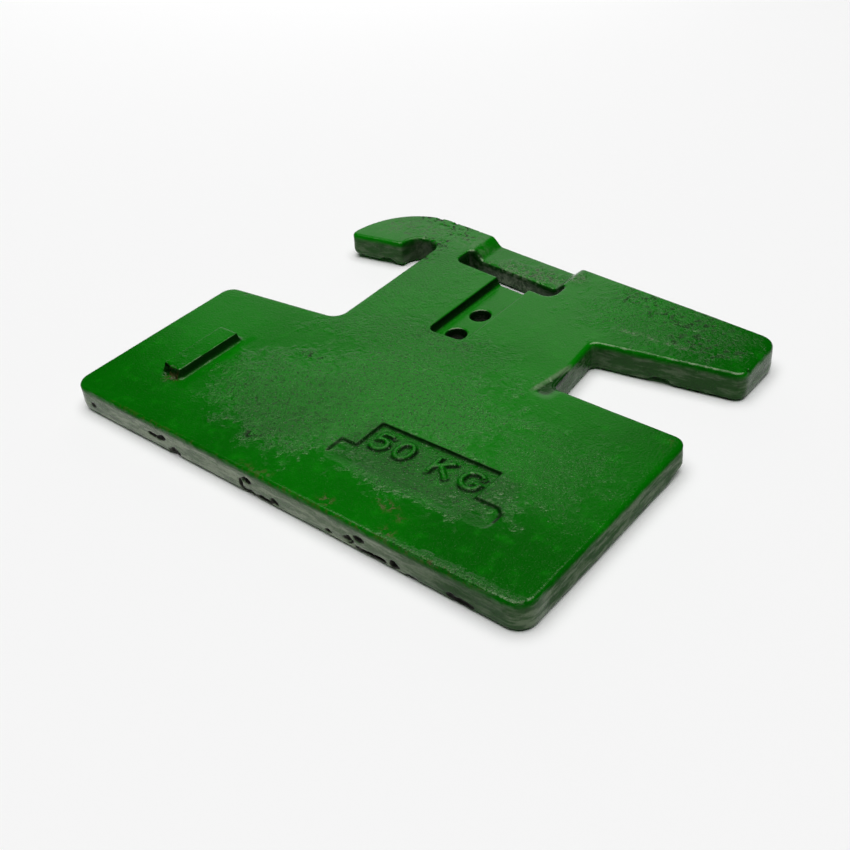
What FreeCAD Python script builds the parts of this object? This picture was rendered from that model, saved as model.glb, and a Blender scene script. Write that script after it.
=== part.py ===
"""Suitcase weight for a tractor: one iron casting, lying flat on its plain face.

Frame: X runs along the straight foot of the plate, Y from the foot up to the handle,
Z through the thickness.  The origin is under the middle of the casting's bounding box.
"""
import FreeCAD, Part
import math
import os
import Sketcher

V = FreeCAD.Vector

# ---------------------------------------------------------------- driving sizes (mm, degrees)
SIZES = [
    # the plate
    ("thickness", 31.5),
    ("parting_height", 9.8),
    ("draft_upper", 2.5),
    ("draft_lower", 5.0),
    ("edge_round_upper", 4.0),
    ("edge_bevel_lower", 2.5),
    ("body_width", 590.0),
    ("left_side_height", 241.1),
    ("right_side_height", 256.8),
    ("foot_left_radius", 20.0),
    ("foot_right_radius", 19.5),
    ("shoulder_left_radius", 17.5),
    ("shoulder_right_radius", 14.0),
    ("shoulder_left_rise", 13.5),
    ("shoulder_right_rise", 7.2),
    # the neck and the throat beside it
    ("neck_foot_reach", 128.8),
    ("neck_head_reach", 132.7),
    ("neck_foot_radius", 14.0),
    ("throat_foot_reach", 148.8),
    ("throat_foot_radius", 9.0),
    ("throat_head_reach", 140.0),
    ("throat_head_radius", 7.0),
    ("throat_width", 84.9),
    # the arm
    ("arm_reach", 291.1),
    ("arm_underside_rise", 19.8),
    ("arm_end_width", 75.8),
    ("arm_low_radius", 12.0),
    ("arm_high_radius", 21.5),
    # the hook, and the notch between it and the neck
    ("upper_edge_rise", 73.4),
    ("hook_back_reach", 241.2),
    ("hook_depth", 104.3),
    ("hook_back_straight", 19.3),
    ("hook_tip_lean", 14.7),
    ("hook_tip_radius", 10.0),
    ("hook_underside_rise", 10.9),
    ("notch_width", 42.3),
    ("notch_side", 2.8),
    ("notch_crown_flat", 4.5),
    ("notch_lip_radius", 4.0),
    # the handle
    ("handle_left_reach", 90.5),
    ("handle_right_reach", 53.1),
    ("handle_bar_width", 43.8),
    ("finger_slot_width", 28.0),
    ("finger_slot_radius", 11.0),
    ("handle_root_radius", 6.0),
    ("handle_drop", 10.6),
    ("handle_ramp_inset", 3.5),
    ("handle_ramp_run", 11.8),
    ("handle_ramp_radius", 8.0),
    # the bolt pocket
    ("pocket_left_reach", 24.1),
    ("pocket_right_reach", 22.6),
    ("pocket_foot_height", 285.2),
    ("pocket_depth", 10.0),
    ("pocket_corner_radius", 9.0),
    ("pocket_floor_radius", 6.5),
    ("pocket_rim_round", 1.5),
    ("bolt_hole_diameter", 22.0),
    ("bolt_hole_offset", 1.0),
    ("bolt_hole_margin", 0.4),
    ("bolt_hole_pitch", 44.0),
    ("bolt_hole_lip", 1.5),
    # the shallow round grooves in the plain face
    ("hook_groove_setback", 24.5),
    ("arm_groove_setback", 80.7),
    ("groove_radius", 18.0),
    ("groove_depth", 7.5),
    ("groove_length", 31.5),
    # the locating lug and the socket under it
    ("lug_reach", 206.0),
    ("lug_height_on_plate", 116.0),
    ("lug_width", 31.5),
    ("lug_length", 90.5),
    ("lug_rise", 10.0),
    ("lug_draft", 12.0),
    ("lug_corner_radius", 4.0),
    ("lug_top_round", 2.0),
    ("lug_foot_radius", 5.0),
    ("socket_clearance", 2.5),
    # the stepped panel
    ("panel_left", 45.7),
    ("panel_right", 183.9),
    ("panel_foot", 57.0),
    ("panel_wing_left", 18.7),
    ("panel_wing_right", 32.4),
    ("panel_wing_height", 31.5),
    ("panel_head_height", 39.3),
    ("panel_depth", 2.8),
    ("panel_foot_depth", 0.8),
    ("panel_foot_radius", 10.0),
    ("panel_corner_radius", 2.0),
    ("panel_end_radius", 14.0),
]
SIZE = dict(SIZES)

# ---------------------------------------------------------------- places, as sums of sizes
# A term is a list of (size, factor) pairs.  Reaches are counted from the middle of the
# foot, heights from the foot, and depths from the plain face.
HALF = 0.5
LEFT = [("body_width", -HALF)]
RIGHT = [("body_width", HALF)]
FOOT = [("body_width", 0)]
FACE = [("thickness", 1)]
PARTING = [("parting_height", 1)]
LEFT_SHOULDER = [("left_side_height", 1)]
RIGHT_SHOULDER = [("right_side_height", 1)]
NECK_FOOT = LEFT_SHOULDER + [("shoulder_left_rise", 1)]
THROAT_FOOT = RIGHT_SHOULDER + [("shoulder_right_rise", 1)]
THROAT_HEAD = THROAT_FOOT + [("throat_width", 1)]
ARM_LOW = THROAT_HEAD + [("arm_underside_rise", 1)]
ARM_HIGH = ARM_LOW + [("arm_end_width", 1)]
ARM_END = [("arm_reach", 1)]
HOOK_BACK = ARM_HIGH + [("upper_edge_rise", 1)]
HOOK_BACK_REACH = [("hook_back_reach", -1)]
HOOK_BACK_RADIUS = [("hook_depth", 1), ("hook_back_straight", -1)]
HOOK_TIP = HOOK_BACK + [("hook_depth", -1)]
HOOK_TIP_REACH = HOOK_BACK_REACH + [("hook_tip_lean", -1)]
NOTCH_MOUTH = HOOK_TIP + [("hook_underside_rise", 1)]
NOTCH_CROWN = NOTCH_MOUTH + [("notch_width", HALF), ("notch_side", 1)]
NOTCH_RADIUS = [("notch_width", HALF), ("notch_crown_flat", -HALF)]
NECK_HEAD_REACH = [("neck_head_reach", -1)]
NOTCH_REACH = NECK_HEAD_REACH + [("notch_width", -1)]
SLOT_LEFT = [("handle_left_reach", -1)]
SLOT_RIGHT = [("handle_right_reach", 1)]

# ---------------------------------------------------------------- document and sheet
doc = FreeCAD.newDocument("SuitcaseWeight")
sheet = doc.addObject("Spreadsheet::Sheet", "Sizes")
for row, (alias, value) in enumerate(SIZES, start=1):
    sheet.set(f"A{row}", alias)
    sheet.set(f"B{row}", str(value))
    sheet.setAlias(f"B{row}", alias)
doc.recompute()

body = doc.addObject("PartDesign::Body", "WeightCasting")
body.Label = "weight_casting"


def size(alias, factor=1):
    """A term of one size."""
    return [(alias, factor)]


def minus(term):
    """The term with its sign turned."""
    return [(alias, -factor) for alias, factor in term]


def amount(term):
    """The number behind a term."""
    return sum(SIZE[alias] * factor for alias, factor in term)


def formula(term):
    """The same term as an expression on the sheet."""
    return " + ".join(f"({factor}) * Sizes.{alias}" for alias, factor in term)


def new_sketch(name, role, lift=None):
    """A sketch on one of the body's origin planes, lifted along that plane's normal."""
    sketch = body.newObject("Sketcher::SketchObject", name)
    plane = next(item for item in body.Origin.OriginFeatures if item.Role == role)
    sketch.AttachmentSupport = [(plane, "")]
    sketch.MapMode = "FlatFace"
    if lift is not None:
        sketch.setExpression("AttachmentOffset.Base.z", formula(lift))
    return sketch


def bind(sketch, constraint, term):
    """Add a constraint and drive it from the sheet."""
    where = sketch.addConstraint(constraint)
    sketch.setExpression(f"Constraints[{where}]", formula(term))


def pin(sketch, index, end, x_term, y_term):
    """Hold one point of a sketch at two terms, measured from the sketch's origin."""
    for kind, term in (("DistanceX", x_term), ("DistanceY", y_term)):
        bind(sketch, Sketcher.Constraint(kind, -1, 1, index, end, amount(term)), term)


def rounded_outline(sketch, corners):
    """Closed outline through pinned corners, each rounded by a tangent arc or left sharp.

    corners: (x term, y term, radius term or None), anticlockwise.  The sharp polygon stays
    in the sketch as construction lines, and every arc touches its two sides.
    """
    sharp = [V(amount(x), amount(y), 0) for x, y, _ in corners]
    count = len(corners)
    for i in range(count):
        sketch.addGeometry(Part.LineSegment(sharp[i], sharp[(i + 1) % count]), True)
    for i, (x_term, y_term, _) in enumerate(corners):
        sketch.addConstraint(Sketcher.Constraint("Coincident", i, 2, (i + 1) % count, 1))
        pin(sketch, i, 1, x_term, y_term)
    ends = []
    for i, here in enumerate(sharp):
        radius_term = corners[i][2]
        if radius_term is None:
            ends.append(((i, 1, here), (i, 1, here)))
            continue
        radius = amount(radius_term)
        before, after = sharp[i - 1], sharp[(i + 1) % count]
        back, ahead = (before - here).normalize(), (after - here).normalize()
        half = back.getAngle(ahead) / 2
        reach = radius / math.tan(half)
        entry, leave = here + back * reach, here + ahead * reach
        centre = here + (back + ahead).normalize() * (radius / math.sin(half))
        bend = ((entry - centre) + (leave - centre)).normalize() * radius
        arc = sketch.addGeometry(Part.Arc(entry, centre + bend, leave), False)
        first, last = (1, 2) if (here - before).cross(after - here).z > 0 else (2, 1)
        sketch.addConstraint(Sketcher.Constraint("Tangent", arc, first, (i - 1) % count))
        sketch.addConstraint(Sketcher.Constraint("Tangent", arc, last, i))
        bind(sketch, Sketcher.Constraint("Radius", arc, radius), radius_term)
        ends.append(((arc, first, entry), (arc, last, leave)))
    for i in range(count):
        start, finish = ends[i][1], ends[(i + 1) % count][0]
        side = sketch.addGeometry(Part.LineSegment(start[2], finish[2]), False)
        sketch.addConstraint(Sketcher.Constraint("Coincident", side, 1, *start[:2]))
        sketch.addConstraint(Sketcher.Constraint("Coincident", side, 2, *finish[:2]))
    doc.recompute()


def pinned_circle(sketch, x_term, y_term, radius_term):
    """A circle held by its centre and radius."""
    centre = V(amount(x_term), amount(y_term), 0)
    circle = sketch.addGeometry(Part.Circle(centre, V(0, 0, 1), amount(radius_term)), False)
    pin(sketch, circle, 3, x_term, y_term)
    bind(sketch, Sketcher.Constraint("Radius", circle, amount(radius_term)), radius_term)
    doc.recompute()


def feature(kind, name, profile, **settings):
    """A PartDesign feature on a profile.  Terms and text are driven from the sheet."""
    item = body.newObject(f"PartDesign::{kind}", name)
    item.Profile = profile
    for key, value in settings.items():
        if isinstance(value, list):
            item.setExpression(key, formula(value))
        else:
            setattr(item, key, value)
    doc.recompute()
    if "Invalid" in item.State or item.Shape.isNull():
        raise RuntimeError(f"{name} failed")
    return item


def cut(name, profile, **settings):
    """A Pocket that must take metal away."""
    before = body.Shape.Volume
    item = feature("Pocket", name, profile, **settings)
    if not item.Shape.Volume < before - 1.0:
        raise RuntimeError(f"{name} cuts nothing")


# ---------------------------------------------------------------- edges of the body so far
TOLERANCE = 0.01


def body_edges(wanted):
    """Names of the body's edges that a test of the edge accepts."""
    return [f"Edge{number}" for number, edge in enumerate(body.Shape.Edges, start=1)
            if wanted(edge)]


def between(low, high):
    """A test: the edge lies wholly between two depths."""
    return lambda edge: (low - TOLERANCE < edge.BoundBox.ZMin
                         and edge.BoundBox.ZMax < high + TOLERANCE)


def dress(kind, name, names, key, alias, **settings):
    """A dress-up feature on named edges or faces of the body, its size bound to the sheet."""
    base = body.Tip
    item = body.newObject(f"PartDesign::{kind}", name)
    item.Base = (base, names)
    item.setExpression(key, f"Sizes.{alias}")
    for setting, value in settings.items():
        setattr(item, setting, value)
    doc.recompute()
    if "Invalid" in item.State or item.Shape.isNull() or not item.Shape.isValid():
        raise RuntimeError(f"{name} failed on {len(names)} edges or faces")


def round_edges(name, names, alias):
    """Rounded edges."""
    dress("Fillet", name, names, "Radius", alias)


def bevel_edges(name, names, alias):
    """Bevelled edges."""
    dress("Chamfer", name, names, "Size", alias)


def draft_sides(name, low, high, alias, reversed_pull=False):
    """Draft on the side faces that span two depths, kept as they are at the parting."""
    names = [f"Face{number}" for number, face in enumerate(body.Shape.Faces, start=1)
             if abs(face.BoundBox.ZMin - low) < TOLERANCE
             and abs(face.BoundBox.ZMax - high) < TOLERANCE]
    dress("Draft", name, names, "Angle", alias,
          NeutralPlane=(parting, [""]), Reversed=reversed_pull)


# ---------------------------------------------------------------- the plate
outline = new_sketch("Outline", "XY_Plane", PARTING)
rounded_outline(outline, [
    (LEFT, FOOT, size("foot_left_radius")),
    (RIGHT, FOOT, size("foot_right_radius")),
    (RIGHT, RIGHT_SHOULDER, size("shoulder_right_radius")),
    (size("throat_foot_reach"), THROAT_FOOT, size("throat_foot_radius")),
    (size("throat_head_reach"), THROAT_HEAD, size("throat_head_radius")),
    (ARM_END, ARM_LOW, size("arm_low_radius")),
    (ARM_END, ARM_HIGH, size("arm_high_radius")),
    (HOOK_BACK_REACH, HOOK_BACK, HOOK_BACK_RADIUS),
    (HOOK_TIP_REACH, HOOK_TIP, size("hook_tip_radius")),
    (NOTCH_REACH, NOTCH_MOUTH, size("notch_lip_radius")),
    (NOTCH_REACH, NOTCH_CROWN, NOTCH_RADIUS),
    (NECK_HEAD_REACH, NOTCH_CROWN, NOTCH_RADIUS),
    (size("neck_foot_reach", -1), NECK_FOOT, size("neck_foot_radius")),
    (LEFT, LEFT_SHOULDER, size("shoulder_left_radius")),
])
# Both halves draw in from the parting line, each with its own draft.
parting = body.newObject("PartDesign::Plane", "PartingPlane")
parting.AttachmentSupport = [(outline, "")]
parting.MapMode = "ObjectXY"
feature("Pad", "UpperHalf", outline, Length=FACE + minus(PARTING))
draft_sides("UpperDraft", amount(PARTING), amount(FACE), "draft_upper")
feature("Pad", "LowerHalf", outline, Length=PARTING, Reversed=True)
draft_sides("LowerDraft", 0, amount(PARTING), "draft_lower", reversed_pull=True)


# ---------------------------------------------------------------- the handle
def edge_height(x):
    """How high the plate's long upper edge is at x."""
    rise = amount(HOOK_BACK) - amount(ARM_HIGH)
    run = amount(ARM_END) - amount(HOOK_BACK_REACH)
    return amount(ARM_HIGH) + (amount(ARM_END) - x) * rise / run


def slot_outline(sketch):
    """Finger slot: a parallelogram that keeps the bar's width off the upper edge."""
    start = V(amount(ARM_END), amount(ARM_HIGH), 0)
    finish = V(amount(HOOK_BACK_REACH), amount(HOOK_BACK), 0)
    guide = sketch.addGeometry(Part.LineSegment(start, finish), True)
    pin(sketch, guide, 1, ARM_END, ARM_HIGH)
    pin(sketch, guide, 2, HOOK_BACK_REACH, HOOK_BACK)
    lean = math.atan2(edge_height(0) - edge_height(1), 1)
    left, right = amount(SLOT_LEFT), amount(SLOT_RIGHT)
    far = SIZE["handle_bar_width"] / math.cos(lean)
    near = far + SIZE["finger_slot_width"] / math.cos(lean)
    sharp = [V(left, edge_height(left) - near), V(right, edge_height(right) - near),
             V(right, edge_height(right) - far), V(left, edge_height(left) - far)]
    near_side, right_end, far_side, left_end = (
        sketch.addGeometry(Part.LineSegment(sharp[i], sharp[(i + 1) % 4]), False)
        for i in range(4))
    ring = (near_side, right_end, far_side, left_end, near_side)
    for this, following in zip(ring, ring[1:]):
        sketch.addConstraint(Sketcher.Constraint("Coincident", this, 2, following, 1))
    for end in (right_end, left_end):
        sketch.addConstraint(Sketcher.Constraint("Vertical", end))
    for side in (near_side, far_side):
        sketch.addConstraint(Sketcher.Constraint("Parallel", side, guide))
    bind(sketch, Sketcher.Constraint("DistanceX", -1, 1, right_end, 1, right), SLOT_RIGHT)
    bind(sketch, Sketcher.Constraint("DistanceX", left_end, 1, -1, 1, -left), minus(SLOT_LEFT))
    bind(sketch, Sketcher.Constraint("Distance", far_side, 1, guide, SIZE["handle_bar_width"]),
         size("handle_bar_width"))
    bind(sketch,
         Sketcher.Constraint("Distance", near_side, 1, far_side, SIZE["finger_slot_width"]),
         size("finger_slot_width"))
    doc.recompute()


slot = new_sketch("FingerSlotOutline", "XY_Plane", FACE)
slot_outline(slot)
cut("FingerSlot", slot, Type="ThroughAll")

# The bar sits lower than the plate's face, and a ramp leads down to it at each end.  The
# cut starts half way across the slot and runs out through the upper edge.
ramps = new_sketch("HandleRamps", "XZ_Plane")
ramps.setExpression("AttachmentOffset.Base.z", (
    f"-({formula(ARM_HIGH)} + Sizes.upper_edge_rise"
    " * (Sizes.arm_reach + (Sizes.handle_left_reach - Sizes.handle_right_reach) / 2)"
    " / (Sizes.arm_reach + Sizes.hook_back_reach)"
    " - Sizes.handle_bar_width - Sizes.finger_slot_width / 2)"))
ABOVE = FACE + size("handle_drop")
BAR_TOP = FACE + size("handle_drop", -1)
TO_RAMP_HEAD = size("handle_ramp_inset")
TO_RAMP_FOOT = TO_RAMP_HEAD + size("handle_ramp_run")
BEND = size("handle_ramp_radius")
rounded_outline(ramps, [
    (SLOT_LEFT + TO_RAMP_FOOT, BAR_TOP, BEND),
    (SLOT_RIGHT + minus(TO_RAMP_FOOT), BAR_TOP, BEND),
    (SLOT_RIGHT + minus(TO_RAMP_HEAD), FACE, BEND),
    (SLOT_RIGHT, FACE, None),
    (SLOT_RIGHT, ABOVE, None),
    (SLOT_LEFT, ABOVE, None),
    (SLOT_LEFT, FACE, None),
    (SLOT_LEFT + TO_RAMP_HEAD, FACE, BEND),
])
cut("HandleRecess", ramps, Length=size("handle_bar_width", 2) + size("finger_slot_width"))


def slot_corners(far):
    """The slot's two upright corner edges on its far or its near side."""
    def upright(x):
        return lambda edge: (abs(edge.BoundBox.XMin - x) < TOLERANCE
                             and edge.BoundBox.XLength < TOLERANCE
                             and edge.BoundBox.YLength < TOLERANCE)
    found = []
    for x in (amount(SLOT_LEFT), amount(SLOT_RIGHT)):
        names = sorted(body_edges(upright(x)),
                       key=lambda name: body.Shape.getElement(name).BoundBox.YMin)
        found.append(names[-1] if far else names[0])
    return found


def on_upper_rim(edge):
    """True of the rims of the face and of the handle, not of the seams across its ramps."""
    box = edge.BoundBox
    seam = (box.XLength < TOLERANCE and box.ZLength < TOLERANCE
            and amount(SLOT_LEFT) + TOLERANCE < box.XMin < amount(SLOT_RIGHT) - TOLERANCE)
    return between(amount(BAR_TOP), amount(FACE))(edge) and not seam


round_edges("SlotNearCorners", slot_corners(far=False), "finger_slot_radius")
round_edges("HandleRoots", slot_corners(far=True), "handle_root_radius")
round_edges("UpperRound", body_edges(on_upper_rim), "edge_round_upper")
bevel_edges("LowerBevel", body_edges(between(0, 0)), "edge_bevel_lower")

# ---------------------------------------------------------------- the bolt pocket
POCKET_LEFT = size("pocket_left_reach", -1)
POCKET_RIGHT = size("pocket_right_reach")
POCKET_FOOT = size("pocket_foot_height")
POCKET_FLOOR = FACE + size("pocket_depth", -1)
INSIDE_SLOT = (ARM_HIGH + size("upper_edge_rise", HALF) + size("handle_bar_width", -1)
               + size("finger_slot_width", -HALF))
pocket = new_sketch("PocketOutline", "XY_Plane", FACE)
rounded_outline(pocket, [
    (POCKET_LEFT, POCKET_FOOT, size("pocket_corner_radius")),
    (POCKET_RIGHT, POCKET_FOOT, size("pocket_corner_radius")),
    (POCKET_RIGHT, INSIDE_SLOT, None),
    (POCKET_LEFT, INSIDE_SLOT, None),
])
cut("BoltPocket", pocket, Length=size("pocket_depth"))


def pocket_edges(depth):
    """The pocket's edges at one depth, without the one that opens into the slot."""
    def beside(edge):
        box = edge.BoundBox
        return (between(depth, depth)(edge)
                and amount(POCKET_LEFT) - TOLERANCE < box.XMin
                and box.XMax < amount(POCKET_RIGHT) + TOLERANCE
                and amount(THROAT_FOOT) < box.YMin < amount(THROAT_HEAD))
    return body_edges(beside)


round_edges("PocketFloorRound", pocket_edges(amount(POCKET_FLOOR)), "pocket_floor_radius")
round_edges("PocketRimRound", pocket_edges(amount(FACE)), "pocket_rim_round")

# The lower hole's lip stands a margin clear of the round at the pocket's foot.
HOLE_RADIUS = size("bolt_hole_diameter", HALF)
LOWER_HOLE = (POCKET_FOOT + size("pocket_floor_radius") + size("bolt_hole_margin")
              + size("bolt_hole_lip") + HOLE_RADIUS)
for name, height in (("LowerBoltHole", LOWER_HOLE),
                     ("UpperBoltHole", LOWER_HOLE + size("bolt_hole_pitch"))):
    hole = new_sketch(name + "Circle", "XY_Plane", FACE)
    pinned_circle(hole, size("bolt_hole_offset", -1), height, HOLE_RADIUS)
    cut(name, hole, Type="ThroughAll")
floor_depth = amount(POCKET_FLOOR)
bevel_edges("BoltHoleLips",
            body_edges(lambda edge: edge.Closed and between(floor_depth, floor_depth)(edge)),
            "bolt_hole_lip")


# ---------------------------------------------------------------- grooves in the plain face
def groove(name, reach, start, length):
    """A shallow round groove that runs in from a near wall, open to the plain face."""
    section = new_sketch(name + "Section", "XZ_Plane", minus(start))
    pinned_circle(section, reach, size("groove_depth") + size("groove_radius", -1),
                  size("groove_radius"))
    cut(name, section, Length=length)


CLEAR = size("groove_radius")
groove("HookGroove", NOTCH_REACH + size("hook_groove_setback", -1), HOOK_TIP + minus(CLEAR),
       CLEAR + size("hook_underside_rise") + size("groove_length"))
groove("ArmGroove", ARM_END + size("arm_groove_setback", -1), THROAT_HEAD + minus(CLEAR),
       CLEAR + size("arm_underside_rise") + size("groove_length"))

# ---------------------------------------------------------------- locating lug and its socket
LUG_REACH = size("lug_reach", -1)
LUG_HEIGHT = size("lug_height_on_plate")


def lug_outline(name, lift, gap):
    """The lug's rounded rectangle, grown all round by a gap."""
    across = size("lug_width", HALF) + gap
    along = size("lug_length", HALF) + gap
    corner = size("lug_corner_radius") + gap
    sketch = new_sketch(name, "XY_Plane", lift)
    rounded_outline(sketch, [
        (LUG_REACH + minus(across), LUG_HEIGHT + minus(along), corner),
        (LUG_REACH + across, LUG_HEIGHT + minus(along), corner),
        (LUG_REACH + across, LUG_HEIGHT + along, corner),
        (LUG_REACH + minus(across), LUG_HEIGHT + along, corner),
    ])
    return sketch


def at_lug_foot(edge):
    """True of the edges where the lug meets the face."""
    middle = edge.BoundBox.Center
    return (between(amount(FACE), amount(FACE))(edge)
            and abs(middle.x - amount(LUG_REACH)) < SIZE["lug_width"]
            and abs(middle.y - amount(LUG_HEIGHT)) < SIZE["lug_length"])


lug_head = SIZE["thickness"] + SIZE["lug_rise"]
feature("Pad", "Lug", lug_outline("LugOutline", FACE, []), Length=size("lug_rise"),
        TaperAngle=size("lug_draft", -1))
round_edges("LugTopRound", body_edges(between(lug_head, lug_head)), "lug_top_round")
round_edges("LugFootRound", body_edges(at_lug_foot), "lug_foot_radius")
cut("LugSocket", lug_outline("SocketOutline", None, size("socket_clearance")),
    Length=size("lug_rise") + size("socket_clearance", HALF),
    TaperAngle=size("lug_draft", -1), Reversed=True)

# ---------------------------------------------------------------- the stepped panel
# Its floor is a plane that sinks from the foot of the panel towards its top.
PANEL_RISE = size("panel_wing_height") + size("panel_head_height")
panel = new_sketch("PanelOutline", "XY_Plane", FACE + size("panel_foot_depth", -1))
panel.AttachmentOffset = FreeCAD.Placement(V(), FreeCAD.Rotation(V(1, 0, 0), 0))
panel.setExpression("AttachmentOffset.Base.y", "Sizes.panel_foot")
panel.setExpression("AttachmentOffset.Rotation.Angle", (
    "-atan((Sizes.panel_depth - Sizes.panel_foot_depth)"
    f" / ({formula(PANEL_RISE)}))"))
LEVEL = size("panel_foot", 0)
STEP = size("panel_wing_height")
PANEL_LEFT = size("panel_left")
PANEL_RIGHT = size("panel_right")
WING_LEFT = PANEL_LEFT + size("panel_wing_left", -1)
WING_RIGHT = PANEL_RIGHT + size("panel_wing_right")
SMALL = size("panel_corner_radius")
rounded_outline(panel, [
    (WING_LEFT, LEVEL, size("panel_foot_radius")),
    (WING_RIGHT, LEVEL, size("panel_foot_radius")),
    (WING_RIGHT, STEP, size("panel_end_radius")),
    (PANEL_RIGHT, STEP, SMALL),
    (PANEL_RIGHT, PANEL_RISE, SMALL),
    (PANEL_LEFT, PANEL_RISE, SMALL),
    (PANEL_LEFT, STEP, SMALL),
    (WING_LEFT, STEP, SMALL),
])
cut("Panel", panel, Length=size("panel_depth", 2), Reversed=True)

# ---------------------------------------------------------------- place, check and write
# The outline at the parting line is the widest section: its middle is put over the origin.
middle = outline.Shape.optimalBoundingBox().Center
body.Placement = FreeCAD.Placement(V(-middle.x, -middle.y, 0), FreeCAD.Rotation())
doc.recompute()
for item in doc.Objects:
    if "Invalid" in item.State or "Error" in item.State:
        raise RuntimeError(f"{item.Name} failed: {item.State}")
if body.Shape.isNull() or not body.Shape.isValid() or len(body.Shape.Solids) != 1:
    raise RuntimeError("the casting is not one valid solid")

os.makedirs("parts", exist_ok=True)
body.Shape.exportStep(f"parts/{body.Label}.step")
print(body.Label, round(body.Shape.Volume), "mm3")
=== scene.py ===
import math

import bpy
import numpy as np
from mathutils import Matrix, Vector
from mathutils.kdtree import KDTree


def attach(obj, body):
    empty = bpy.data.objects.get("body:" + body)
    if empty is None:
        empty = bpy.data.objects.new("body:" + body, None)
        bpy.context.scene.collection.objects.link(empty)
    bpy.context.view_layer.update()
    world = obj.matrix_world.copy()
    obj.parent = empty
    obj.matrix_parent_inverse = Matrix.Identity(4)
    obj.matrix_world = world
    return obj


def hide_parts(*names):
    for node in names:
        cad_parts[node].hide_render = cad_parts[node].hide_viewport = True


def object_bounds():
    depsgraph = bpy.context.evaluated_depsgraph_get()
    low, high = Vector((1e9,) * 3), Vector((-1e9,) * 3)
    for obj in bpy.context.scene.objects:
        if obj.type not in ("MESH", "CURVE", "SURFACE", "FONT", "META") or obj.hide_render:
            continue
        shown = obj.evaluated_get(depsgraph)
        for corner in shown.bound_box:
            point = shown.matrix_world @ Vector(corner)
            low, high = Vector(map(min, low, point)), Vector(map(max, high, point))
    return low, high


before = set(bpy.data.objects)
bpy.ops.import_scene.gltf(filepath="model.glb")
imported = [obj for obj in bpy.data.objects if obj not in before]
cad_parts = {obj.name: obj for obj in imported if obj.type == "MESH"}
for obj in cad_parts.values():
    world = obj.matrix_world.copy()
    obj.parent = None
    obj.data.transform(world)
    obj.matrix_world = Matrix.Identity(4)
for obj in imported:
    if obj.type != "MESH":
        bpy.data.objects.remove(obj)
start_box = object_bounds()

scene = bpy.context.scene
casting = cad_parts["weight_casting"]
MM = 0.001

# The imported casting: x from -295 to 295 mm, y from the foot at -253.6 to 253.6, z from 0
# to the face at 31.5 and the lug's top at 41.5. Numbers on the casting are in mm.
FOOT_Y = -253.6
FACE_Z = 31.5
PARTING_Z = 9.8


# ------------------------------------------------------------ camera
CAMERA_PLACE = (0.6151, -0.7088, 0.6271)
CAMERA_ANGLES = (50.814, 7.796, 42.916)
SENSOR_WIDTH = 36.0
LENS = 44.12
LENS_SHIFT = (0.1235, 0.0647)
CLIP = (0.05, 50.0)


def add_camera():
    """The view over the foot's right corner: long side to the left, hook and arm behind."""
    data = bpy.data.cameras.new("camera")
    data.sensor_width = SENSOR_WIDTH
    data.lens = LENS
    data.shift_x, data.shift_y = LENS_SHIFT
    data.clip_start, data.clip_end = CLIP
    camera = bpy.data.objects.new("camera", data)
    camera.location = CAMERA_PLACE
    camera.rotation_euler = tuple(math.radians(angle) for angle in CAMERA_ANGLES)
    scene.collection.objects.link(camera)
    scene.camera = camera


# ------------------------------------------------------------ values over plain arrays
# Factors and shifts that scramble a cell's place and a seed to a 32-bit number.
CELL_FACTORS = (73856093, 19349663, 83492791)
SEED_FACTOR = 2654435761
SCRAMBLE = ((15, 2246822519), (13, 3266489917))
LAST_SHIFT = 16
LARGEST = 0xFFFFFFFF


def corner_values(cells, seed):
    """A repeatable value from -1 to 1 for every whole lattice cell."""
    mixed = seed * SEED_FACTOR
    for axis, factor in enumerate(CELL_FACTORS):
        mixed = mixed ^ (cells[:, axis] * factor)
    mixed = mixed & LARGEST
    for shift, factor in SCRAMBLE:
        mixed = ((mixed ^ (mixed >> shift)) * factor) & LARGEST
    mixed = mixed ^ (mixed >> LAST_SHIFT)
    return mixed / (LARGEST // 2) - 1.0


def noise(points, cell, seed):
    """Smooth noise from -1 to 1 over points in mm, with one bump per cell."""
    scaled = points / cell
    low = np.floor(scaled)
    part = ramp(scaled - low, 0.0, 1.0)
    low = low.astype(np.int64)
    total = np.zeros(len(points))
    for dx in (0, 1):
        for dy in (0, 1):
            for dz in (0, 1):
                weight = (np.abs(1 - dx - part[:, 0]) * np.abs(1 - dy - part[:, 1])
                          * np.abs(1 - dz - part[:, 2]))
                total += weight * corner_values(low + (dx, dy, dz), seed)
    return total


def layered(points, layers):
    """A sum of noises, each layer given as its height, its cell in mm and its seed."""
    return sum(height * noise(points, cell, seed) for height, cell, seed in layers)


def ramp(values, start, stop):
    """0 at start and 1 at stop, smooth between."""
    t = np.clip((values - start) / (stop - start), 0.0, 1.0)
    return t * t * (3.0 - 2.0 * t)


def band(values, start, full, fading, stop):
    """0 up to start, 1 from full to fading, and 0 again from stop on."""
    return ramp(values, start, full) * ramp(values, stop, fading)


def in_plan(points, left, right, near, far):
    """Which points lie inside a rectangle of the plan."""
    return ((points[:, 0] > left) & (points[:, 0] < right)
            & (points[:, 1] > near) & (points[:, 1] < far))


# ------------------------------------------------------------ the mass cast in the panel
MARK_Z = 28.9
MARK_STROKE = 2.8
MARK_TOP, MARK_MIDDLE, MARK_BASE = -136.5, -147.5, -158.5


def arc(centre, across, high, start, stop, steps=14):
    """Points on an ellipse, angles in degrees anticlockwise from +x."""
    angles = np.radians(np.linspace(start, stop, steps))
    return [(centre[0] + across * math.cos(a), centre[1] + high * math.sin(a))
            for a in angles]


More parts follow.
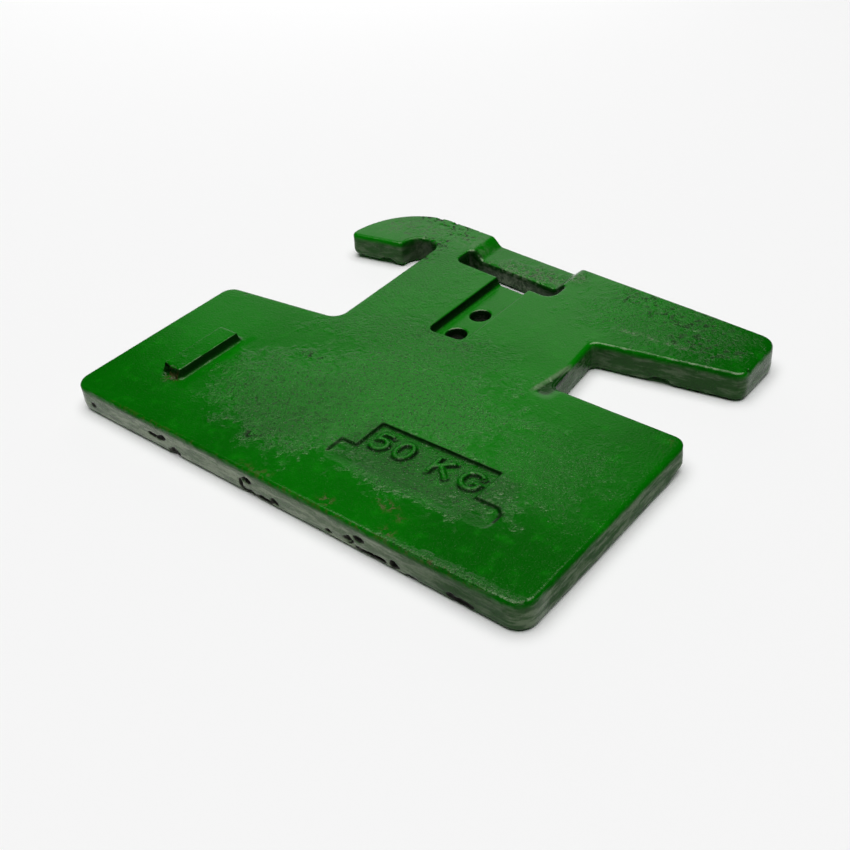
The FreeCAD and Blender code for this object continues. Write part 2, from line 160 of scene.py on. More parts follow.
def mark_strokes():
    """Centre lines of the plain raised 50 KG."""
    half = MARK_TOP - MARK_MIDDLE
    five_top = [(70.5, MARK_TOP), (57.5, MARK_TOP), (56.5, -146.5)]
    five_bowl = arc((62.5, -151.5), 8.5, 7.5, 125, -145)
    nought = arc((90.0, MARK_MIDDLE), 8.0, half, 0, 360, 25)
    stem = [(125.0, MARK_TOP), (125.0, MARK_BASE)]
    upper_arm = [(142.5, MARK_TOP), (126.5, -149.5)]
    lower_leg = [(131.5, -146.0), (145.0, MARK_BASE)]
    bend = arc((168.0, MARK_MIDDLE), 10.5, half, 42, 318, 22)
    tongue = [bend[-1], (177.5, -149.5), (170.5, -149.5)]
    return [five_top + five_bowl, nought, stem, upper_arm, lower_leg, bend, tongue]


def add_mark():
    """The strokes as round bars, sunk so that their tops stand out of the panel's floor."""
    data = bpy.data.curves.new("mark", "CURVE")
    data.dimensions = "3D"
    data.bevel_depth = MARK_STROKE * MM
    data.bevel_resolution = 3
    data.use_fill_caps = True
    for stroke in mark_strokes():
        spline = data.splines.new("POLY")
        spline.points.add(len(stroke) - 1)
        for point, (x, y) in zip(spline.points, stroke):
            point.co = (x * MM, y * MM, MARK_Z * MM, 1.0)
    mark = bpy.data.objects.new("mark", data)
    scene.collection.objects.link(mark)
    return mark


# ------------------------------------------------------------ where the iron is worn, and where shade and highlights are painted
# Blow holes in the foot's wall: x, z, half length, half height, depth.
FOOT_HOLES = [
    (-262.0, 13.0, 5.0, 3.0, 1.2), (-158.0, 14.5, 12.0, 2.6, 2.2),
    (-146.0, 16.0, 5.0, 3.0, 2.6), (-128.0, 5.5, 9.0, 4.5, 2.4),
    (-20.0, 17.5, 8.0, 3.2, 3.4), (-28.0, 10.5, 3.4, 7.0, 3.4),
    (-16.0, 4.5, 13.0, 3.0, 3.4), (5.0, 5.0, 12.0, 2.2, 2.6),
    (17.0, 8.5, 5.5, 4.0, 3.2), (86.0, 7.5, 4.0, 2.2, 2.0),
    (112.0, 10.0, 6.5, 5.5, 4.0), (123.0, 16.0, 7.0, 3.0, 2.6),
    (138.0, 5.0, 18.0, 2.4, 2.8), (162.0, 8.0, 5.5, 4.6, 3.6),
    (181.0, 3.0, 6.0, 2.0, 1.8), (233.0, 6.0, 12.0, 4.0, 1.6),
]

# Pitted patches of the face: x, y, half length, half width, and strength.
PITTED = [
    (-163.0, 240.0, 60.0, 9.0, 1.0), (-138.0, 192.0, 30.0, 14.0, 1.0),
    (-120.0, 222.0, 22.0, 9.0, 0.9), (-131.0, 160.0, 16.0, 14.0, 0.8),
    (-190.0, 214.0, 50.0, 22.0, 0.35), (138.0, 192.0, 30.0, 16.0, 0.8),
    (196.0, 176.0, 46.0, 24.0, 0.8), (231.0, 144.0, 40.0, 24.0, 0.7),
    (191.0, 218.0, 60.0, 8.0, 0.8), (-60.0, -150.0, 80.0, 60.0, 0.35),
    (17.0, 18.0, 46.0, 20.0, 0.4), (-51.0, -209.0, 10.0, 5.0, 1.0),
    (-96.0, -72.0, 12.0, 6.0, 0.9), (-202.0, -186.0, 10.0, 7.0, 0.7),
    (-8.0, 203.0, 58.0, 12.0, 0.7),
]

# Pale patches: paint worn pale, and the painted highlights on the bar's right ramp (46, 206)
# and along the arm's rim (190, 131): as above.
PALE_SCUFFS_AND_HIGHLIGHTS = [
    (-4.0, 203.0, 64.0, 17.0, 1.0), (-190.0, 210.0, 60.0, 26.0, 0.3),
    (-100.0, 214.0, 30.0, 16.0, 0.4), (46.0, 206.0, 5.0, 22.0, 1.0),
    (190.0, 131.0, 44.0, 4.0, 0.9),
]

# Spots along the foot where the paint is off and the iron has browned: as above.
BROWNED = [
    (76.0, -243.0, 9.0, 6.0, 1.0), (128.0, -217.0, 12.0, 6.0, 0.9),
    (151.0, -243.0, 8.0, 5.0, 0.9), (149.0, -224.0, 8.0, 4.0, 0.6),
    (213.0, -251.0, 16.0, 3.0, 0.9), (-10.0, -246.0, 20.0, 4.0, 0.5),
    (90.0, -252.0, 190.0, 2.5, 0.5), (-150.0, -251.5, 110.0, 2.5, 0.35),
    (-202.0, -187.0, 11.0, 6.0, 0.6), (283.0, -7.0, 4.0, 16.0, 0.5),
]

# Rough patches, where sand stuck to the mould: as above.
PEBBLED = [
    (-50.0, -140.0, 112.0, 70.0, 1.0), (40.0, -70.0, 120.0, 60.0, 0.8),
    (118.0, -158.0, 96.0, 40.0, 1.3), (205.0, -100.0, 70.0, 60.0, 0.35),
    (240.0, -248.0, 52.0, 6.0, 1.0), (175.0, -251.0, 40.0, 4.0, 0.7),
    (185.0, 170.0, 100.0, 60.0, 0.55), (-100.0, 90.0, 60.0, 120.0, 0.3),
    (0.0, 203.0, 64.0, 18.0, 0.8), (-20.0, 0.0, 130.0, 50.0, 0.45),
]

# Knocks out of edges: x, y, z, radius and depth.
KNOCKS = [
    (-215.0, -184.0, 38.0, 9.0, 2.6), (-198.0, -186.0, 35.0, 6.0, 1.4),
    (-176.0, 249.0, 31.0, 6.0, 1.6), (-131.0, 158.0, 31.0, 5.0, 1.6),
    (-150.0, 247.0, 31.0, 4.0, 1.4), (-262.0, -16.0, 31.5, 2.4, 0.6),
    (286.0, 128.0, 29.0, 4.0, 1.4), (120.0, 229.0, 31.0, 4.0, 1.0),
]

# The dent in the face beside the throat: the line of its edge in plan, and its depth.
DENT_START, DENT_STOP = np.array((135.0, -6.0)), np.array((144.5, 54.0))
DENT_DEPTH = 2.2

# The radius of the worn lower rim, and corners worn more: x, y, reach and extra radius.
RIM_RADIUS = 1.8
WORN_CORNERS = [
    (-290.0, -248.0, 40.0, 5.0), (292.0, 0.0, 40.0, 10.0), (295.0, -60.0, 90.0, 4.0),
    (295.0, -160.0, 90.0, 3.5), (288.0, 190.0, 40.0, 5.0), (-256.0, 172.0, 60.0, 11.0),
    (-200.0, 172.0, 50.0, 5.0),
]

# The bolt holes and the socket, whose rims aren't worn: x from and to, y from and to.
SHARP_PLACES = [(-17.0, 15.0, 30.0, 115.0), (-230.0, -182.0, -200.0, -80.0)]

# The panel: x from and to, y from and to, and a height under its floor.
PANEL = (20.0, 222.0, -203.0, -119.0)
PANEL_LOWEST = 25.0

# Where the panel's floor runs out into the face at its foot: y from and to, and the box.
PANEL_FOOT_Y = -196.6
RUN_OUT_START, RUN_OUT_STOP = PANEL_FOOT_Y - 4.0, PANEL_FOOT_Y + 15.0
RUN_OUT = (22.0, 221.0, RUN_OUT_START, -178.0)

# The panel's walls that take painted shade, and the one along which the painted shade in the
# crease doesn't show.
PANEL_WALLS = [
    [(27.4, -186.0), (27.4, -165.5), (46.1, -165.5), (46.1, -126.2), (183.5, -126.2)],
    [(184.0, -165.5), (209.0, -165.5), (215.8, -172.0), (215.8, -182.0)],
]
PANEL_RIGHT_WALL = [(183.9, -129.5), (183.9, -162.0)]

# The side of a raised stroke that takes painted shade, in plan.
NEAR_SIDE = np.array((0.643, -0.766))

# Painted shade on the walls of the lug, the panel and the pocket with the slot: x from and
# to, y from and to, and strength.
RECESSES = [
    (-232.0, -177.0, -195.0, -80.0, 0.6), (*PANEL, 0.9), (-92.0, 56.0, 26.0, 148.0, 0.9),
    (-92.0, 56.0, 148.0, 204.0, 0.65),
]

# The strip of the face beside the lug that doesn't shine: x from and to, y from and to.
BESIDE_LUG = (-187.0, -176.0, -194.0, -80.0)

# Sums of noises, each layer as its height, its cell in mm and its seed. Wobbles bend the
# outlines of patches, holes and knocks; the rest are heights of the skin in mm.
PATCH_WOBBLE = ((0.28, 18.0, 31), (0.30, 7.0, 32), (0.25, 3.2, 33))
HOLE_WOBBLE = ((0.42, 5.0, 41), (0.26, 2.4, 42))
KNOCK_WOBBLE = ((0.35, 5.0, 51), (0.3, 2.2, 52))
RIM_BREAKS = ((1.0, 8.0, 61), (0.6, 3.0, 62))
SWELL = ((0.22, 70.0, 1), (0.07, 24.0, 2))
LUMPS = ((0.04, 9.0, 3),)
PEBBLES = ((0.07, 8.0, 4), (0.02, 5.0, 5))
FLOW = ((0.30, 10.0, 6),)
PIT_SPOTS = ((1.0, 4.2, 7),)

# How deep pits go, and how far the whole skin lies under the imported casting's surface.
PIT_DEPTH = 0.7
SKIN_SUNK = 0.18

# How noise is drawn out level along the walls.
SMEARED = (0.35, 0.35, 1.6)


def patches(points, table):
    """How strongly a table of oval patches covers each point of the plan, 0 to 1."""
    cover = np.zeros(len(points))
    wobble = layered(points, PATCH_WOBBLE)
    for x, y, long, wide, strength in table:
        distance = np.hypot((points[:, 0] - x) / long, (points[:, 1] - y) / wide)
        cover = np.maximum(cover, strength * ramp(distance + wobble, 1.25, 0.50))
    return cover


def foot_holes(points):
    """Depth of the blow holes in the foot's wall at each point, and their cover."""
    depth = np.zeros(len(points))
    cover = np.zeros(len(points))
    on_wall = ramp(points[:, 1], FOOT_Y + 7.0, FOOT_Y + 4.0)
    wobble = layered(points, HOLE_WOBBLE)
    for x, z, long, high, deep in FOOT_HOLES:
        distance = np.hypot((points[:, 0] - x) / long, (points[:, 2] - z) / high) + wobble
        depth = np.maximum(depth, deep * ramp(distance, 1.1, 0.35))
        cover = np.maximum(cover, ramp(distance, 1.2, 0.85))
    return depth * on_wall, cover * on_wall


def knocks(points):
    """Depth of the knocks at each point, and their cover."""
    depth = np.zeros(len(points))
    cover = np.zeros(len(points))
    wobble = layered(points, KNOCK_WOBBLE)
    for x, y, z, radius, deep in KNOCKS:
        distance = np.linalg.norm(points - (x, y, z), axis=1) / radius + wobble
        depth = np.maximum(depth, deep * ramp(distance, 1.0, 0.3))
        cover = np.maximum(cover, ramp(distance, 1.0, 0.5))
    return depth, cover


def throat_dent(points):
    """Depth of the dent in the face beside the throat, and a painted highlight along its near
    side.
    """
    line = (DENT_STOP - DENT_START) / np.linalg.norm(DENT_STOP - DENT_START)
    offset = points[:, :2] - DENT_START
    along = offset @ line
    right = offset[:, 0] * line[1] - offset[:, 1] * line[0]
    reach = band(along, -6.0, 8.0, 50.0, 62.0)
    depth = DENT_DEPTH * reach * band(right, -3.0, 4.0, 9.0, 26.0)
    return depth, reach * ramp(np.abs(right + 0.5), 3.6, 0.8)


def closest_stroke(plan, strokes):
    """Distance from each point of the plan to the nearest stroke, and how far the point
    lies on the stroke's near side, from -1 to 1."""
    closest = np.full(len(plan), np.inf)
    side = np.zeros(len(plan))
    for stroke in strokes:
        for start, stop in zip(np.array(stroke[:-1]), np.array(stroke[1:])):
            along = (plan - start) @ (stop - start) / ((stop - start) @ (stop - start))
            offset = plan - start - np.clip(along, 0.0, 1.0)[:, None] * (stop - start)
            distance = np.linalg.norm(offset, axis=1)
            nearer = distance < closest
            side = np.where(nearer, offset @ NEAR_SIDE / np.maximum(distance, 0.01), side)
            closest = np.minimum(closest, distance)
    return closest, side


def panel_wear(points):
    """Round the mark and the panel's walls: the cover of painted shade, how far the painted
    shade in creases shows, and the cover of the strokes' tops."""
    inside = in_plan(points, *PANEL) & (points[:, 2] > PANEL_LOWEST)
    plan = points[inside, :2]
    around, side = closest_stroke(plan, mark_strokes())
    walls = closest_stroke(plan, PANEL_WALLS)[0]
    right_wall = closest_stroke(plan, [PANEL_RIGHT_WALL])[0]
    beside = band(around, 1.6, 2.6, 4.2, 6.0) * ramp(side, -0.1, 0.4)
    behind = ramp(around, 6.5, 4.5) * ramp(side, 0.4, -0.2)
    painted_shade, crease_shade, tops = np.zeros(len(points)), np.ones(len(points)), np.zeros(len(points))
    painted_shade[inside] = np.maximum(beside, 0.9 * ramp(walls, 2.6, 1.0))
    crease_shade[inside] = (1.0 - 0.9 * behind) * (1.0 - 0.9 * ramp(right_wall, 4.0, 2.0))
    tops[inside] = ramp(around, 3.0, 2.0)
    return painted_shade, crease_shade, tops


def fade_panel_foot(points):
    """Heights with the panel's floor running out into the face at its foot."""
    y, z = points[:, 1], points[:, 2]
    inside = in_plan(points, *RUN_OUT) & (z > PANEL_LOWEST + 1.0) & (z < FACE_Z)
    faded = FACE_Z - (FACE_Z - z) * ramp(y, RUN_OUT_START, RUN_OUT_STOP)
    return np.where(inside, faded, z)


def worn_rim(points, normals):
    """Heights with the lower rim worn round, more so at the corners."""
    x, y, z = points.T
    wall = (np.abs(z - PARTING_Z) < 1.2) & (np.abs(normals[:, 2]) < 0.5)
    for place in SHARP_PLACES:
        wall &= ~in_plan(points, *place)
    chosen = np.flatnonzero(wall)
    tree = KDTree(len(chosen))
    for place, i in enumerate(chosen):
        tree.insert((x[i], y[i], 0.0), place)
    tree.balance()
    radius = np.full(len(points), RIM_RADIUS)
    for corner_x, corner_y, reach, extra in WORN_CORNERS:
        distance = np.hypot(x - corner_x, y - corner_y)
        radius += extra * ramp(distance, reach, 0.0)
    lifted = z.copy()
    for i in np.flatnonzero(z < PARTING_Z):
        inward = tree.find((x[i], y[i], 0.0))[2]
        if inward < radius[i]:
            low = radius[i] - math.sqrt(radius[i] ** 2 - (radius[i] - inward) ** 2)
            lifted[i] = max(z[i], min(low, PARTING_Z))
    return lifted


def unevenness(points, normals):
    """How far each point of the skin moves along its normal."""
    upward = (ramp(normals[:, 2], 0.5, 0.95)
              * ramp(points[:, 2], FACE_Z - 6.0, FACE_Z - 4.0))
    sides = ramp(np.abs(normals[:, 2]), 0.6, 0.3)
    lumps = layered(points, LUMPS) * (1.0 + 2.0 * sides)
    pebbles = (layered(points, PEBBLES) * (0.15 + patches(points, PEBBLED))
               * (upward + 0.3 * sides))
    flow = sides * layered(points * SMEARED, FLOW)
    pits = (PIT_DEPTH * patches(points, PITTED) * upward
            * ramp(layered(points, PIT_SPOTS), 0.2, 0.6))
    return layered(points, SWELL) + lumps + pebbles + flow - pits - SKIN_SUNK


# ------------------------------------------------------------ the skin of iron and paint
VOXEL = 1.1
MOST_TRIANGLES = 190000


def evaluated_mesh(thing):
    """A plain mesh of an object with its modifiers."""
    graph = bpy.context.evaluated_depsgraph_get()
    return bpy.data.meshes.new_from_object(thing.evaluated_get(graph))


def read_points(mesh):
    """The mesh's vertices in mm and their normals."""
    count = len(mesh.vertices)
    points = np.empty(count * 3)
    normals = np.empty(count * 3)
    mesh.vertices.foreach_get("co", points)
    mesh.vertex_normals.foreach_get("vector", normals)
    return points.reshape(-1, 3) / MM, normals.reshape(-1, 3)


def write_points(mesh, points):
    """Put the vertices at these places in mm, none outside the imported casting's box."""
    low, high = (np.array(corner) / MM for corner in start_box)
    mesh.vertices.foreach_set("co", (np.clip(points, low, high) * MM).ravel())
    mesh.update()


def joined(meshes, name):
    """One object that holds all the meshes."""
    corners, faces = [], []
    for mesh in meshes:
        offset = len(corners)
        corners += [tuple(vertex.co) for vertex in mesh.vertices]
        faces += [[offset + i for i in polygon.vertices] for polygon in mesh.polygons]
    together = bpy.data.meshes.new(name)
    together.from_pydata(corners, [], faces)
    thing = bpy.data.objects.new(name, together)
    scene.collection.objects.link(thing)
    return thing


def wear_down(mesh):
    """Move the skin's points to where wear, faults and unevenness leave them."""
    points, normals = read_points(mesh)
    points[:, 2] = worn_rim(points, normals)
    points[:, 2] = fade_panel_foot(points)
    depth = foot_holes(points)[0] + knocks(points)[0]
    depth += throat_dent(points)[0] * ramp(normals[:, 2], 0.3, 0.7)
    write_points(mesh, points + normals * (unevenness(points, normals) - depth)[:, None])


def add_skin(mark):
    """One closed skin over the casting and the mark, uneven as cast and painted."""
    plain = casting.data.copy()
    plain.transform(casting.matrix_world)
    skin = joined((plain, evaluated_mesh(mark)), "painted_casting")
    bpy.data.objects.remove(mark)

    remesh = skin.modifiers.new("remesh", "REMESH")
    remesh.mode = "VOXEL"
    remesh.voxel_size = VOXEL * MM
    soften = skin.modifiers.new("soften", "SMOOTH")
    soften.factor = 0.5
    soften.iterations = 1
    fine = evaluated_mesh(skin)
    skin.modifiers.clear()
    wear_down(fine)
    skin.data = fine

    triangles = sum(len(polygon.vertices) - 2 for polygon in fine.polygons)
    reduce = skin.modifiers.new("reduce", "DECIMATE")
    reduce.ratio = min(1.0, MOST_TRIANGLES / triangles)
    thinned = evaluated_mesh(skin)
    skin.modifiers.clear()
    write_points(thinned, read_points(thinned)[0])
    skin.data = thinned
    thinned.shade_smooth()
    return skin


# ------------------------------------------------------------ wear, painted shade and painted highlights for the material
def store(mesh, name, values):
    """One value per vertex for the material."""
    layer = mesh.attributes.new(name, "FLOAT", "POINT")
    layer.data.foreach_set("value", np.clip(values, 0.0, 1.0).astype(np.float32))


def recess_shade(points):
    """Strength of the painted shade on walls at each point of the plan, 0 outside the
    recesses.
    """
    strength = np.zeros(len(points))
    for *place, painted_shade in RECESSES:
        strength = np.maximum(strength, painted_shade * in_plan(points, *place))
    return strength


def darkening(points, tops):
    """Painted shade, the green made deeper where less light falls: at the foot, at the right
    end and on the arm's tip; and the green is deeper on the panel's floor."""
    x, y, z = points.T
    foot = ramp(y, -110.0, -220.0)
    right_end = ramp(x, 120.0, 280.0)
    arm_tip = ramp(np.hypot(x - 280.0, y - 130.0), 130.0, 20.0)
    panel_floor = (ramp(np.abs(x - 121.0), 96.0, 82.0) * ramp(np.abs(y + 158.0), 36.0, 26.0)
                   * ramp(z, 20.0, 25.0) * (1.0 - tops))
    return 0.50 * foot + 0.60 * right_end + 0.50 * arm_tip + 0.60 * panel_floor


def glossiness(points, normals, dull, pebbled):
    """Specular level: low on the walls and in the sand, and broken along the rims."""
    x, y, z = points.T
    up = normals[:, 2]
    beside_lug = in_plan(points, *BESIDE_LUG)
    right_rim = (ramp(up, 0.99, 0.90) * ramp(x, 262.0, 274.0)
                 * band(y, -228.0, -215.0, 10.0, 30.0))
    rim = ramp(up, 0.97, 0.90) * ramp(z, 24.0, 27.0)
    broken = ramp(layered(points, RIM_BREAKS), -0.3, 0.2)
    return ((0.5 - 0.40 * dull) * (1.0 - 0.45 * np.clip(pebbled, 0.0, 1.0))
            * (1.0 - 0.85 * beside_lug) * (1.0 - 0.85 * right_rim)
            * (1.0 - 0.8 * rim * broken))


def mark_wear(mesh):
    """Values on the skin that tell the enamel where it is worn, grimy, rough or dull, and
    where shade and highlights are painted.
    """
    points, normals = read_points(mesh)
    x, y, z = points.T
    up = normals[:, 2]
    level = np.abs(up)
    upward = ramp(up, 0.5, 0.9)
    sides = ramp(level, 0.90, 0.45)
    inner = recess_shade(points)
    # painted shade: walls and rims darker where less light falls, in full on the recesses'
    # walls
    shaded = np.where(inner > 0.0, ramp(level, 0.93, 0.55), sides * ramp(z, 28.5, 23.0))
    foot_wall = (ramp(y, FOOT_Y + 12.0, FOOT_Y + 6.0) * ramp(z, 26.0, 21.5)
                 * ramp(x, 235.0, 120.0) * (0.6 + 0.4 * ramp(x, -270.0, -200.0))
                 * ramp(up, -0.95, -0.70))
    right_wall = 0.5 * ramp(x, 272.0, 282.0) * ramp(y, 20.0, 5.0) * shaded
    pebbled = patches(points, PEBBLED) * upward
    dent, streak = (values * ramp(z, 20.0, 25.0) for values in throat_dent(points))
    painted_shade, crease_shade, tops = panel_wear(points)
    # painted shade on the walls of the hook's notch
    hook_notch = 0.75 * sides * ramp(np.hypot(x + 150.0, y - 178.0), 30.0, 22.0)
    # painted shade in hollows: on the recesses' walls, beside the strokes, along the panel's
    # walls, in the hook's notch and in the dent's bottom
    hollow_shade = np.maximum.reduce([inner * ramp(level, 0.96, 0.70) * crease_shade, painted_shade, hook_notch,
                               0.8 * ramp(dent, 0.9, 1.9)])
    dull = np.maximum(sides, shaded) * (1.0 - foot_wall)

    store(mesh, "holes", np.maximum(foot_holes(points)[1], 0.62 * knocks(points)[1]))
    store(mesh, "deep", darkening(points, tops))
    store(mesh, "pitted", patches(points, PITTED) * upward)
    store(mesh, "pebbled", pebbled + 0.2 * upward + 0.3 * sides)
    store(mesh, "sides", shaded)
    store(mesh, "walls", shaded * (inner == 0.0))
    store(mesh, "dusty", np.maximum(foot_wall, right_wall))
    store(mesh, "hollow_shade", hollow_shade)
    store(mesh, "crease_shade", crease_shade)
    store(mesh, "streak", streak)
    store(mesh, "gloss", glossiness(points, normals, dull, pebbled) * (1.0 - 0.9 * painted_shade))
    store(mesh, "scuffs_and_highlights", patches(points, PALE_SCUFFS_AND_HIGHLIGHTS) * ramp(up, -0.5, 0.0))
    store(mesh, "browned", patches(points, BROWNED) * ramp(z, 25.0, 29.0))


# ------------------------------------------------------------ materials
class Nodes:
    """Short names for building a shader tree."""

    def __init__(self, tree):
        self.tree = tree

    def add(self, kind, links=None, **settings):
        """A node; links names its input sockets, settings are its properties."""
        node = self.tree.nodes.new(kind)
        for key, value in settings.items():
            setattr(node, key, value)
        for key, value in (links or {}).items():
            socket = node.inputs[key]
            if isinstance(value, bpy.types.NodeSocket):
                self.tree.links.new(value, socket)
            else:
                socket.default_value = value
        return node

    def noise(self, where, scale, detail=3.0, rough=0.55):
        """Noise from 0 to 1."""
        return self.add("ShaderNodeTexNoise",
                        {"Vector": where, "Scale": scale, "Detail": detail,
                         "Roughness": rough}).outputs["Fac"]

    def attribute(self, name):
        """One of the values stored on the skin."""
        return self.add("ShaderNodeAttribute", attribute_name=name).outputs["Fac"]

    def openness(self, distance):
        """1 in the open, and less in corners up to this distance in metres."""
        return self.add("ShaderNodeAmbientOcclusion", {"Distance": distance},
                        samples=6, only_local=True).outputs["AO"]

    def math(self, operation, a, b):
        """One operation on two values."""
        return self.add("ShaderNodeMath", {0: a, 1: b}, operation=operation).outputs[0]

    def plus(self, a, b):
        """The sum of two values."""
        return self.math("ADD", a, b)

    def times(self, a, b):
        """The product of two values."""
        return self.math("MULTIPLY", a, b)

    def step(self, value, start, stop, low=0.0, high=1.0):
        """Smooth rise from low at start to high at stop."""
        return self.add("ShaderNodeMapRange",
                        {"Value": value, "From Min": start, "From Max": stop,
                         "To Min": low, "To Max": high},
                        interpolation_type="SMOOTHSTEP").outputs["Result"]

    def mix(self, factor, a, b):
        """A colour between two."""
        return self.add("ShaderNodeMix", {"Factor": factor, 6: a, 7: b},
                        data_type="RGBA").outputs[2]


GREEN = (0.0012, 0.172, 0.0008, 1.0)
DEEP_GREEN = (0.0005, 0.095, 0.0004, 1.0)
BRIGHT_GREEN = (0.004, 0.205, 0.002, 1.0)
SHADED_GREEN = (0.004, 0.045, 0.003, 1.0)
# near black green: grime on walls and in chips, and painted shade
DIRT_AND_SHADE = (0.002, 0.012, 0.002, 1.0)
BROWN = (0.075, 0.048, 0.018, 1.0)
# pale grey green: dust on walls, and painted highlights
DUST_AND_HIGHLIGHT = (0.165, 0.220, 0.135, 1.0)
# near black: the blow holes and knocks, and painted shade deep in recesses
NEAR_BLACK = (0.002, 0.003, 0.002, 1.0)
GLINT = (0.300, 0.430, 0.270, 1.0)
ENAMEL_TINT = (1.0, 1.0, 0.82, 1.0)
ENAMEL_IOR = 1.55
BUMP_DISTANCE = 0.0008
CREASE_REACH = 0.005
RECESS_REACH = 0.022


def enamel():
    """Thick green enamel over rough iron, with holes, chips and dust, and painted shade and
    highlights.
    """
    material = bpy.data.materials.new("green_enamel")
    material.use_nodes = True
    tree = material.node_tree
    shader = tree.nodes["Principled BSDF"]
    n = Nodes(tree)

    where = n.add("ShaderNodeTexCoord").outputs["Object"]
    stretched = n.add("ShaderNodeMapping", {"Vector": where, "Scale": SMEARED})
    broad = n.noise(where, 9.0, 2.0)
    cloudy = n.noise(where, 60.0, 4.0)
    smeared = n.noise(stretched.outputs["Vector"], 120.0, 4.0, 0.6)
    mottle = n.noise(where, 170.0, 3.0, 0.65)
    grain = n.noise(where, 420.0)
    fine_grain = n.noise(where, 430.0, 2.0)
    speck = n.noise(where, 900.0, 2.0)
    crease = n.openness(CREASE_REACH)
    recess = n.openness(RECESS_REACH)

    holes = n.attribute("holes")
    pebbled = n.attribute("pebbled")
    walls = n.attribute("walls")

    # From the green outwards: painted shade, grime and dust, pale wear and painted
    # highlights, sand with painted glints, chips and holes.
    # painted shade from the stored deep values, with a broad random tone
    shade = n.plus(n.attribute("deep"), n.step(broad, 0.60, 0.35, 0.0, 0.3))
    colour = n.mix(shade, GREEN, DEEP_GREEN)
    colour = n.mix(n.step(cloudy, 0.50, 0.80, 0.0, 0.6), colour, BRIGHT_GREEN)
    # painted shade on walls and rims
    colour = n.mix(n.times(n.attribute("sides"), 0.85), colour, SHADED_GREEN)
    colour = n.mix(n.times(walls, n.step(mottle, 0.54, 0.66, 0.0, 0.4)), colour, DIRT_AND_SHADE)
    colour = n.mix(n.times(walls, n.step(smeared, 0.44, 0.66, 0.06, 0.45)), colour, DUST_AND_HIGHLIGHT)
    # painted shade in hollows, near black green
    colour = n.mix(n.attribute("hollow_shade"), colour, DIRT_AND_SHADE)
    # painted shade in creases, from the ambient occlusion
    crease_shade = n.times(n.step(crease, 0.95, 0.72), n.attribute("crease_shade"))
    colour = n.mix(crease_shade, colour, DIRT_AND_SHADE)
    # painted shade, near black, deep in recesses
    colour = n.mix(n.step(recess, 0.62, 0.36), colour, NEAR_BLACK)
    dusty = n.times(n.attribute("dusty"), n.step(smeared, 0.40, 0.60, 0.15, 1.0))
    colour = n.mix(dusty, colour, DUST_AND_HIGHLIGHT)
    # pale wear, and painted highlights on the bar's ramp and the arm's rim
    scuff_and_highlight_cover = n.times(n.attribute("scuffs_and_highlights"), n.step(mottle, 0.42, 0.60, 0.0, 0.6))
    # painted highlight along the dent's near side
    streak = n.times(n.attribute("streak"), n.step(cloudy, 0.30, 0.55, 0.1, 0.6))
    colour = n.mix(n.math("MAXIMUM", scuff_and_highlight_cover, streak), colour, DUST_AND_HIGHLIGHT)
    dots = n.times(pebbled, n.step(grain, 0.47, 0.36, 0.0, 0.9))
    colour = n.mix(dots, colour, SHADED_GREEN)
    # painted glints: pale specks for sparkles of light on the sand
    glints = n.times(pebbled, n.step(speck, 0.67, 0.73, 0.0, 0.7))
    colour = n.mix(glints, colour, GLINT)
    chips = n.times(n.attribute("pitted"), n.step(mottle, 0.54, 0.62))
    colour = n.mix(chips, colour, DIRT_AND_SHADE)
    bare = n.times(n.attribute("browned"), n.step(mottle, 0.48, 0.58, 0.0, 0.7))
    colour = n.mix(bare, colour, BROWN)
    colour = n.mix(n.step(holes, 0.35, 0.8), colour, NEAR_BLACK)

    rough = n.step(grain, 0.3, 0.7, 0.08, 0.16)
    rough = n.plus(rough, n.times(n.plus(chips, bare), 0.35))
    rough = n.plus(rough, n.times(n.step(holes, 0.3, 0.8), 0.5))

    sunk_chips = n.times(chips, -0.6)
    height = n.times(pebbled, n.plus(grain, fine_grain))
    height = n.plus(height, n.times(speck, n.plus(n.times(pebbled, 0.3), 0.05)))
    height = n.plus(height, sunk_chips)
    bump = n.add("ShaderNodeBump",
                 {"Strength": 1.0, "Distance": BUMP_DISTANCE, "Height": height})

    gloss = n.times(n.attribute("gloss"), n.step(crease, 0.65, 0.97, 0.15, 1.0))
    gloss = n.times(gloss, n.plus(sunk_chips, 1.0))

    tree.links.new(colour, shader.inputs["Base Color"])
    tree.links.new(rough, shader.inputs["Roughness"])
    tree.links.new(bump.outputs["Normal"], shader.inputs["Normal"])
    tree.links.new(gloss, shader.inputs["Specular IOR Level"])
    shader.inputs["Specular Tint"].default_value = ENAMEL_TINT
    shader.inputs["IOR"].default_value = ENAMEL_IOR
    return material


# ------------------------------------------------------------ studio
# The sky's strength from the horizon up, and the heights between which it brightens.
SKY_LOW, SKY_HIGH = 0.006, 3.8
SKY_START, SKY_STOP = 0.80, 0.92
WHITE = (1.0, 1.0, 1.0, 1.0)

FLOOR_HALF = 6.0
FLOOR_DROP = 0.0005
FLOOR_COLOUR = (0.92, 0.92, 0.92, 1.0)
FLOOR_ROUGHNESS = 0.9

# Soft boxes behind the left end: name, place, target, width, height and power in watts.
LAMPS = [
    ("back_panel", (-1.75, 1.6, 0.88), (-1.75, 0.0, 0.88), 2.5, 1.55, 2.5),
    ("low_back_panel", (-1.75, 1.58, 0.65), (-1.75, 0.0, 0.65), 2.5, 1.1, 2.3),
]


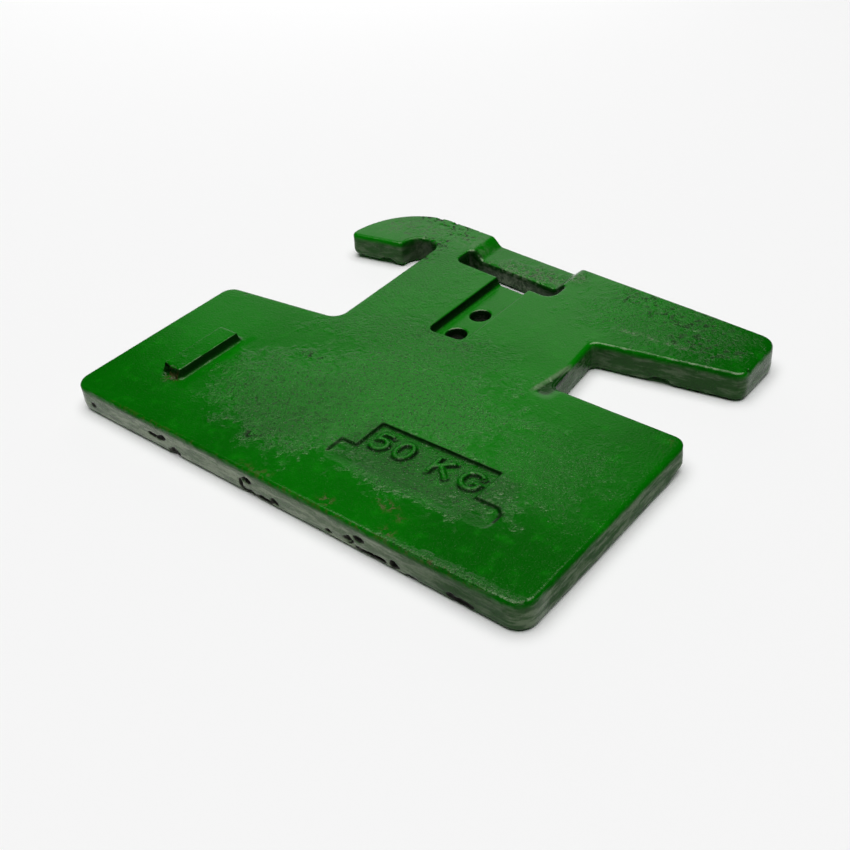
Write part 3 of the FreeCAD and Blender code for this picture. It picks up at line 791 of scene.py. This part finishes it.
def add_world():
    """Bright overhead and dark at the sides, and plain white to the camera."""
    world = bpy.data.worlds.new("studio")
    world.use_nodes = True
    world.node_tree.nodes.clear()
    n = Nodes(world.node_tree)
    direction = n.add("ShaderNodeTexCoord").outputs["Generated"]
    up = n.add("ShaderNodeSeparateXYZ", {0: direction}).outputs["Z"]
    strength = n.step(up, SKY_START, SKY_STOP, SKY_LOW, SKY_HIGH)
    light = n.add("ShaderNodeBackground", {"Color": WHITE, "Strength": strength})
    white = n.add("ShaderNodeBackground", {"Color": WHITE, "Strength": 1.0})
    path = n.add("ShaderNodeLightPath")
    mix = n.add("ShaderNodeMixShader", {0: path.outputs["Is Camera Ray"],
                                        1: light.outputs[0], 2: white.outputs[0]})
    n.add("ShaderNodeOutputWorld", {"Surface": mix.outputs[0]})
    scene.world = world


def add_floor():
    """A plain pale floor, just clear of the casting."""
    half = FLOOR_HALF
    mesh = bpy.data.meshes.new("floor")
    mesh.from_pydata([(-half, -half, 0), (half, -half, 0), (half, half, 0), (-half, half, 0)],
                     [], [(0, 1, 2, 3)])
    floor = bpy.data.objects.new("floor", mesh)
    floor.location.z = -FLOOR_DROP
    scene.collection.objects.link(floor)
    material = bpy.data.materials.new("floor")
    material.use_nodes = True
    shader = material.node_tree.nodes["Principled BSDF"]
    shader.inputs["Base Color"].default_value = FLOOR_COLOUR
    shader.inputs["Roughness"].default_value = FLOOR_ROUGHNESS
    mesh.materials.append(material)


def add_lamp(name, place, target, width, height, power):
    """A rectangular soft box aimed at a point."""
    data = bpy.data.lights.new(name, "AREA")
    data.shape = "RECTANGLE"
    data.size = width
    data.size_y = height
    data.energy = power
    lamp = bpy.data.objects.new(name, data)
    lamp.location = place
    direction = Vector(target) - Vector(place)
    lamp.rotation_euler = direction.to_track_quat("-Z", "Y").to_euler()
    lamp.visible_camera = False
    scene.collection.objects.link(lamp)


add_camera()
skin = add_skin(add_mark())
mark_wear(skin.data)
skin.data.materials.clear()
skin.data.materials.append(enamel())
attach(skin, "root")
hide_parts("weight_casting")

add_world()
add_floor()
for lamp in LAMPS:
    add_lamp(*lamp)

scene.view_settings.view_transform = "Standard"
